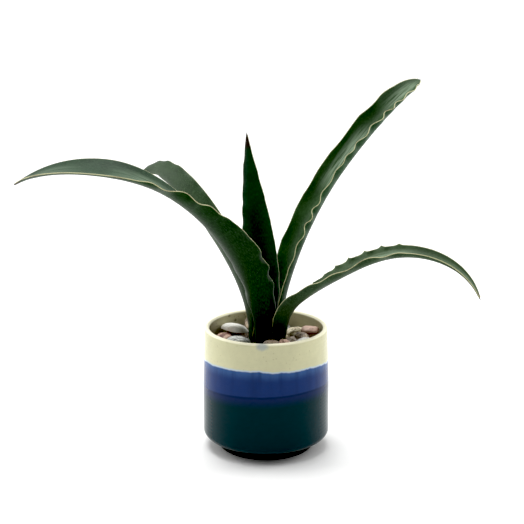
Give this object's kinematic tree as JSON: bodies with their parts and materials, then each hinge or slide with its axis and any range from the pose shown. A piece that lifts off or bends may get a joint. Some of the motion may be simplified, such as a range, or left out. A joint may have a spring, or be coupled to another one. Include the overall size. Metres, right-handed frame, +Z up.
{
  "type": "potted snake plant",
  "caption": "Rosette of long channelled arching leaves with spined tips, rooted in soil in a straight-sided glazed pot and dressed with sea shells.",
  "frame": {"origin": "centre of the pot's flat underside", "axes": "+Z up along the pot's axis, -Y to the front, where the largest leaf leaves the pot"},
  "size_m": [0.418, 0.2518, 0.3353],
  "materials": {
    "pot_glaze": "gloss",
    "soil": "matte",
    "root_crown": "matte",
    "leaf": "satin",
    "shell_white": "satin",
    "shell_grey": "satin",
    "shell_cream": "satin",
    "shell_rose": "satin",
    "shell_brown": "satin"
  },
  "bodies": {
    "root": {"clam_01": "shell_rose", "clam_02": "shell_cream", "clam_03": "shell_rose", "clam_04": "shell_brown", "clam_05": "shell_white", "clam_06": "shell_grey", "clam_07": "shell_white", "clam_08": "shell_grey", "clam_09": "shell_brown", "clam_10": "shell_brown", "clam_11": "shell_rose", "clam_12": "shell_cream", "clam_13": "shell_grey", "clam_14": "shell_white", "clam_15": "shell_cream", "clam_16": "shell_rose", "clam_17": "shell_brown", "clam_18": "shell_brown", "clam_19": "shell_white", "clam_20": "shell_brown", "clam_21": "shell_cream", "clam_22": "shell_grey", "cockle_01": "shell_grey", "cockle_02": "shell_cream", "cockle_03": "shell_brown", "cockle_04": "shell_rose", "cockle_05": "shell_cream", "cockle_06": "shell_white", "cockle_07": "shell_brown", "cockle_08": "shell_rose", "leaf_back_left": "leaf", "leaf_centre": "leaf", "leaf_front_left": "leaf", "leaf_right_low": "leaf", "leaf_right_tall": "leaf", "pebble_01": "shell_brown", "pebble_02": "shell_brown", "pebble_03": "shell_grey", "pebble_04": "shell_cream", "pebble_05": "shell_grey", "pebble_06": "shell_rose", "pebble_07": "shell_brown", "pebble_08": "shell_grey", "pebble_09": "shell_rose", "pot": "pot_glaze", "root_crown": "root_crown", "snail_01": "shell_white", "snail_02": "shell_grey", "snail_03": "shell_cream", "snail_04": "shell_grey", "snail_05": "shell_rose", "snail_06": "shell_rose", "snail_07": "shell_rose", "snail_08": "shell_grey", "snail_09": "shell_cream", "snail_10": "shell_rose", "soil": "soil"}
  },
  "joints": []
}
